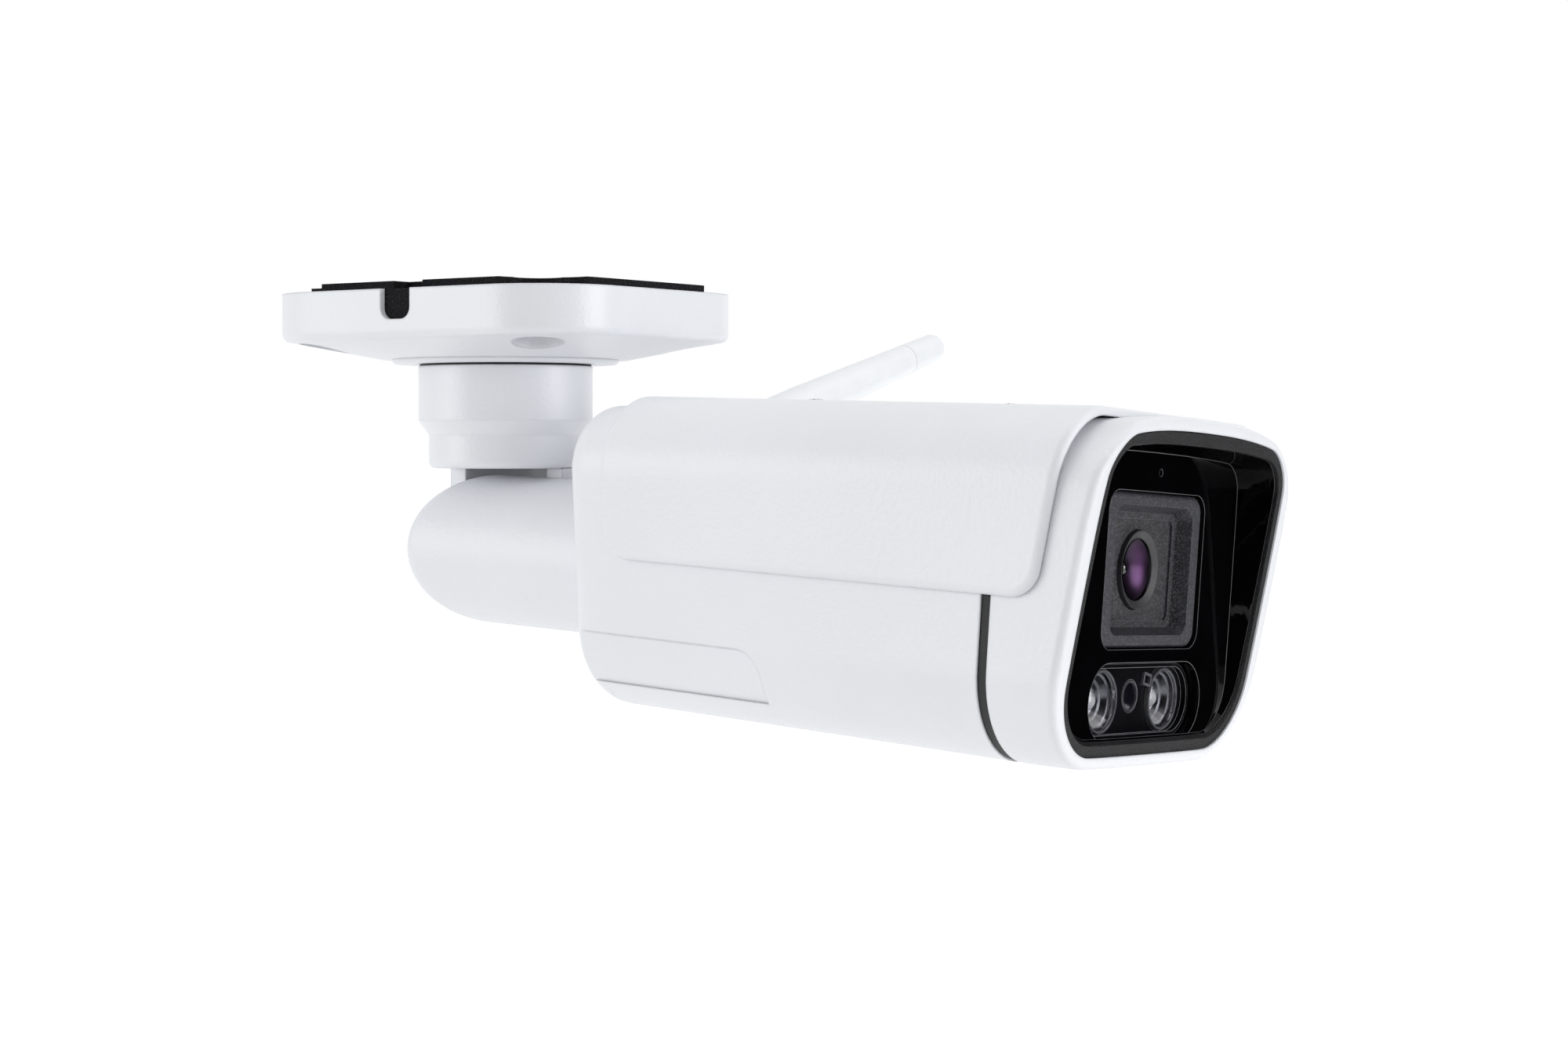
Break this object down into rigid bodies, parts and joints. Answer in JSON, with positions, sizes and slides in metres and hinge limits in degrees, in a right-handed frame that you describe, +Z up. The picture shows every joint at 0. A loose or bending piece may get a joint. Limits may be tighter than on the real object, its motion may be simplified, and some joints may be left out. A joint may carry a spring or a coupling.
{
  "type": "bullet security camera",
  "caption": "White wireless bullet security camera on a ceiling bracket that pans, tilts and rolls, with a sunshield, a hooded black front, lamps and a folding rod antenna.",
  "frame": {"origin": "centre of the foam face that meets the ceiling, on the pan axis", "axes": "+Z up into the ceiling, +X the way the camera looks, +Y the side that the antenna points to"},
  "size_m": [0.2242, 0.1925, 0.1006],
  "materials": {
    "white_paint": "satin powder coat",
    "white_plastic": "satin moulded",
    "black_foam": "matte closed-cell foam",
    "black_rubber": "matte",
    "grey_plastic": "smooth",
    "steel": "plain",
    "gloss_black": "polished",
    "textured_black": "spark-eroded texture",
    "lens_black": "matte",
    "lens_glass": "coated",
    "clear_lens": "clear",
    "lamp_chip": "glossy",
    "board_green": "solder mask",
    "plated_brass": "plated"
  },
  "bodies": {
    "base": {"base_plate": "white_paint", "notch_plug": "black_foam", "foam_gasket": "black_foam", "pan_seal": "black_rubber"},
    "post": {"swivel_post": "white_paint", "pan_washer": "grey_plastic", "pan_nut": "steel"},
    "arm": {"tilt_arm": "white_paint", "tilt_screw": "steel", "tilt_washer": "steel", "friction_disc": "grey_plastic", "roll_seal": "black_rubber", "roll_washer": "grey_plastic", "roll_nut": "steel", "cable_grommet": "black_rubber"},
    "antenna_elbow": {"antenna_elbow": "white_plastic", "antenna_pin": "steel"},
    "antenna": {"antenna_rod": "white_plastic", "antenna_cap": "white_plastic"},
    "head": {"antenna_nut": "plated_brass", "antenna_socket": "plated_brass", "bezel_screws": "steel", "bezel_seal": "black_rubber", "body_shell": "white_paint", "front_bezel": "white_paint", "front_panel": "gloss_black", "hood_liner": "textured_black", "image_sensor": "lens_black", "led_board": "board_green", "led_chips": "lamp_chip", "led_lenses": "clear_lens", "led_tray": "gloss_black", "lens_barrel": "lens_black", "lens_frame": "textured_black", "lens_glass": "lens_glass", "lens_holder": "lens_black", "lens_ring": "lens_black", "light_sensor": "lens_black", "main_board": "board_green", "microphone": "lens_black", "processor": "lens_black", "radio_module": "steel", "rear_glass": "lens_glass", "sensor_board": "board_green", "shield_screws": "steel", "sunshield": "white_paint"}
  },
  "joints": [
    {"name": "pan", "type": "hinge", "parent": "base", "child": "post", "pos_m": [0, 0, 0], "axis": [0, 0, 1], "range_deg": [-175, 175]},
    {"name": "tilt", "type": "hinge", "parent": "post", "child": "arm", "pos_m": [0, 0, -0.0605], "axis": [0, 1, 0], "range_deg": [-2.8, 87.2]},
    {"name": "roll", "type": "hinge", "parent": "arm", "child": "head", "pos_m": [0, 0, -0.0605], "axis": [0.9988, 0, -0.0489], "range_deg": [-180, 4]},
    {"name": "antenna_swivel", "type": "hinge", "parent": "head", "child": "antenna_elbow", "pos_m": [0.00098, 0.02812, -0.04052], "axis": [-0.9988, 0, 0.0489], "range_deg": [-4.5, 105]},
    {"name": "antenna_hinge", "type": "hinge", "parent": "antenna_elbow", "child": "antenna", "pos_m": [0.0236, 0.02812, -0.04162], "axis": [-0.0472, 0.2571, -0.9652], "range_deg": [-90, 0]}
  ]
}
